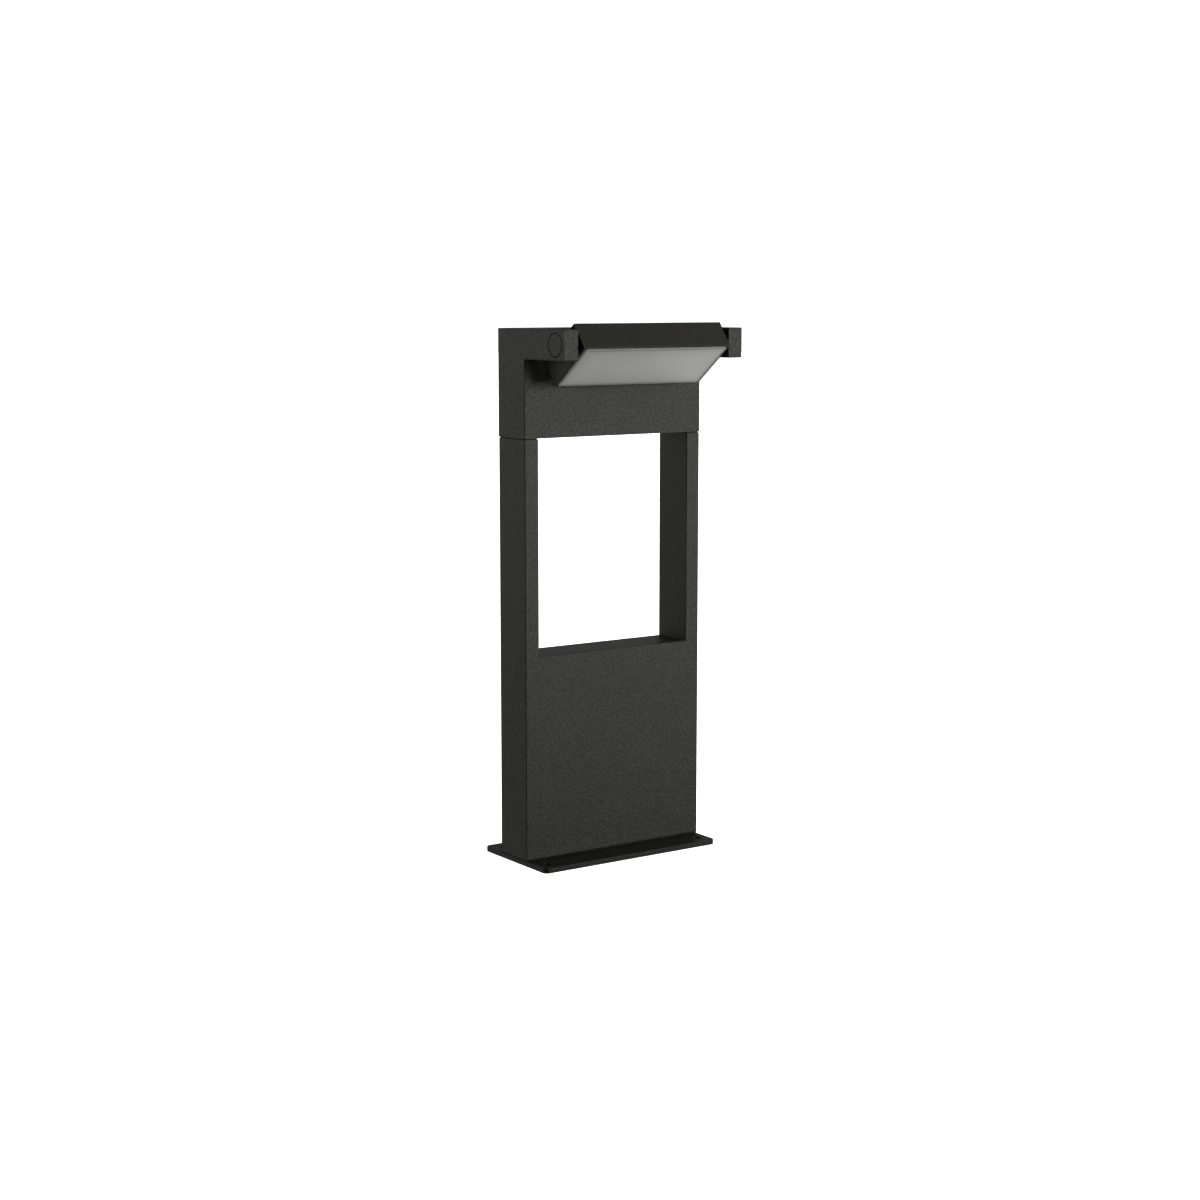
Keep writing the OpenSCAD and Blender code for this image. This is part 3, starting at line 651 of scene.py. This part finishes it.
def stand_for(piece, node):
    """The piece rides on the node's body, and the node is hidden."""
    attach(piece, frame["nodes"][node]["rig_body"])
    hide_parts(node)


def make_piece(name, bm, finishes):
    """A smooth-shaded object of a mesh, whose edges over SHARP stay sharp."""
    mesh = bpy.data.meshes.new(name)
    for face in bm.faces:
        face.smooth = True
    bm.to_mesh(mesh)
    bm.free()
    mesh.set_sharp_from_angle(angle=SHARP)
    piece = bpy.data.objects.new(name, mesh)
    bpy.context.scene.collection.objects.link(piece)
    for finish in finishes:
        mesh.materials.append(finish)
    return piece


def shade_evenly(piece):
    """Keeps large flat faces flat in shading next to small rounded edges."""
    even = piece.modifiers.new("even", "WEIGHTED_NORMAL")
    even.keep_sharp = True


# Edge radius of each smaller node, in millimetres.
SOFT_NODES = {
    "left_plug": 0.15,
    "right_plug": 0.15,
    "head_cover": 0.3,
    "cover_screws": 0.12,
    "base_screws": 0.15,
    "joint_screws": 0.15,
    "bracket_screws": 0.12,
    "driver_screws": 0.12,
    "board_screws": 0.1,
    "terminal_screws": 0.1,
    "earth_screw": 0.1,
    "earth_tag": 0.08,
    "terminal_bracket": 0.15,
    "terminal_block": 0.35,
    "driver_case": 0.8,
    "gland_body": 0.2,
    "gland_cap": 0.2,
    "pivot_bolt": 0.2,
    "pivot_nut": 0.15,
    "pivot_shaft": 0.15,
    "pivot_bushes": 0.12,
    "friction_washers": 0.08,
    "spring_washers": 0.08,
    "stop_pin": 0.15,
    "led_board": 0.08,
}


def make_shells():
    """Softened pieces for the nodes of metal and hard plastic."""
    head_low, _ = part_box("head_casting")
    _, post_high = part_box("post_body")
    plate_low, plate_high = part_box("base_plate")
    at_joint = level_with((head_low.z + post_high.z) / 2)

    def free_outline(edge):
        """A long edge that isn't at the joint between post and head."""
        return long_edge(edge) and not at_joint(edge)

    outline = (POST_RADIUS, 4, free_outline)
    joint = (JOINT_RADIUS, 2, at_joint)
    details = (DETAIL_RADIUS, 2, outward)
    soften("post_body", (outline, joint, details), materials["fine_coat"])
    soften("head_casting", (outline, joint, details))
    top = (PLATE_RADIUS, 3, above((plate_low.z + plate_high.z) / 2))
    # The base plate takes a darker copy of the coat: painted shade.
    soften("base_plate", (top, details), materials["shaded_base_coat"])
    soften("lamp_housing", ((LAMP_RADIUS, 2, outward),), materials["fine_coat"])
    for node, radius in SOFT_NODES.items():
        soften(node, ((radius, 2, outward),))


# ---- Lamp pieces ----

HINGE = frame["record"]["behaviour"]["joints"][0]
PIVOT = Vector(HINGE["pos_m"])
# At its lower limit the lamp faces straight down, so that limit is its tilt in the frame.
TILT = math.radians(-HINGE["range_deg"][0])
LAMP_DEPTH = Vector((0, math.cos(TILT), -math.sin(TILT)))
LAMP_UP = Vector((0, math.sin(TILT), math.cos(TILT)))


def lamp_point(x, depth, up):
    """A point of the tilted lamp: across, back from the pivot, and up away from the diffuser."""
    return PIVOT + Vector((x, 0, 0)) + LAMP_DEPTH * depth + LAMP_UP * up


def lamp_place(point):
    """The reverse of lamp_point."""
    from_pivot = point - PIVOT
    return Vector((from_pivot.x, from_pivot.dot(LAMP_DEPTH), from_pivot.dot(LAMP_UP)))


def span_of(places):
    """Lowest and highest corners of a box round some points."""
    low = Vector(min(p[i] for p in places) for i in range(3))
    high = Vector(max(p[i] for p in places) for i in range(3))
    return low, high


LEAST_CORNER = 0.2 * MM


def rounded_rectangle(low, high, inset, radius, steps=6):
    """Points (x, depth) round a rectangle with arcs at its corners."""
    r = max(radius - inset, LEAST_CORNER)
    left, right = low.x + inset + r, high.x - inset - r
    near, far = low.y + inset + r, high.y - inset - r
    points = []
    for quarter, (x, y) in enumerate(((right, far), (left, far), (left, near), (right, near))):
        for step in range(steps + 1):
            angle = math.pi / 2 * (quarter + step / steps)
            points.append((x + r * math.cos(angle), y + r * math.sin(angle)))
    return points


def loft(bm, rings):
    """Joins rings of points in order and closes both ends. Returns the vertices and the last cap."""
    made = [[bm.verts.new(p) for p in ring] for ring in rings]
    count = len(made[0])
    for lower, upper in zip(made, made[1:]):
        for i in range(count):
            j = (i + 1) % count
            bm.faces.new((lower[i], lower[j], upper[j], upper[i]))
    bm.faces.new(made[0][::-1])
    return made, bm.faces.new(made[-1])


DIFFUSER_CORNER = 4 * MM
# Each ring of the diffuser: inset and height above its face in mm, how much painted shade from the
# frame, and how much painted shade in the groove.
DIFFUSER_RINGS = (
    (0.4, 3.1, 0.0, 0.0),
    (0.0, 2.7, 0.0, 0.0),
    (0.0, 0.9, 0.0, 0.0),
    (0.25, 0.35, 1.0, 0.3),
    (0.8, 0.05, 1.0, 0.3),
    (1.3, 0.0, 1.0, 0.2),
    (1.5, 0.0, 0.0, 0.6),
    (1.6, 0.35, 0.5, 1.0),
    (2.1, 0.35, 0.5, 1.0),
    (2.2, 0.0, 1.0, 0.4),
    (4.0, 0.0, 0.65, 0.0),
    (8.0, 0.0, 0.3, 0.0),
    (14.0, 0.0, 0.1, 0.0),
    (22.0, 0.0, 0.0, 0.0),
)


def make_diffuser():
    """The opal plate: a chamfered frame, a fine groove, and a flat face inside it."""
    low, high = span_of([lamp_place(v.co) for v in frame["nodes"]["diffuser"].data.vertices])
    bm = bmesh.new()
    edge = bm.verts.layers.float.new(PAINTED_LIGHT_MARK)
    rim = bm.verts.layers.float.new(RIM_SHADE_MARK)
    rings = []
    for inset, height, _, _ in DIFFUSER_RINGS:
        outline = rounded_rectangle(low, high, inset * MM, DIFFUSER_CORNER)
        rings.append([lamp_point(x, y, low.z + height * MM) for x, y in outline])
    made, _ = loft(bm, rings)
    # Each ring takes its painted rim shade and its painted groove shade.
    for verts, (_, _, rim_shade_amount, dust_and_shade) in zip(made, DIFFUSER_RINGS):
        for vert in verts:
            vert[rim] = rim_shade_amount
            vert[edge] = dust_and_shade
    bmesh.ops.recalc_face_normals(bm, faces=bm.faces)
    piece = make_piece("diffuser_plate", bm, [materials["opal"]])
    shade_evenly(piece)
    stand_for(piece, "diffuser")


LED_CORNER = 0.3 * MM
# Each ring of an LED package: inset, and depth below its lit face, in millimetres.
LED_RINGS = ((0.1, 1.0), (0.0, 0.9), (0.0, 0.12), (0.12, 0.0), (0.45, 0.0), (0.6, 0.15))


def islands(node):
    """The box of each separate solid of a lamp node, in lamp_place's axes."""
    bm = welded_copy(node)
    left = set(bm.verts)
    boxes = []
    while left:
        reached = {left.pop()}
        front = set(reached)
        while front:
            front = {e.other_vert(v) for v in front for e in v.link_edges} & left
            left -= front
            reached |= front
        boxes.append(span_of([lamp_place(v.co) for v in reached]))
    bm.free()
    return sorted(boxes, key=lambda box: tuple(box[0]))


def make_leds():
    """Each LED: a moulded frame with a bevelled rim, and a sunk phosphor window."""
    bm = bmesh.new()
    for low, high in islands("leds"):
        height = high.z - low.z
        rings = []
        for inset, depth in LED_RINGS:
            outline = rounded_rectangle(low, high, inset * MM, LED_CORNER, steps=2)
            rings.append([lamp_point(x, y, low.z + min(depth * MM, height)) for x, y in outline])
        _, window = loft(bm, rings)
        window.material_index = 1
    bmesh.ops.recalc_face_normals(bm, faces=bm.faces)
    piece = make_piece("led_packages", bm, [materials["white_plastic"], materials["led_phosphor"]])
    shade_evenly(piece)
    stand_for(piece, "leds")


# ---- Leads ----

LEADS = ("supply_lead", "led_lead", "lamp_lead")


def make_lead(node):
    """A CAD lead made round: its rings are smoothed by one subdivision, with square ends."""
    bm = welded_copy(node)
    creases = bm.edges.layers.float.new("crease_edge")
    for edge in bm.edges:
        if edge.is_manifold and edge.calc_face_angle() > SQUARE:
            edge[creases] = 1.0
    piece = make_piece(node + "_round", bm, [materials[slots[node]]])
    smooth = piece.modifiers.new("round", "SUBSURF")
    smooth.levels = 1
    smooth.render_levels = 1
    stand_for(piece, node)


# ---- Scene ----

bpy.context.scene.view_settings.view_transform = "Standard"
make_camera()
make_world()
make_sun(make_backdrop())
make_soft_boxes()
slots = {name: node.material_slots[0].material.name for name, node in frame["nodes"].items()}
materials = make_materials()
finish_nodes()
make_shells()
make_diffuser()
make_leds()
for lead in LEADS:
    make_lead(lead)
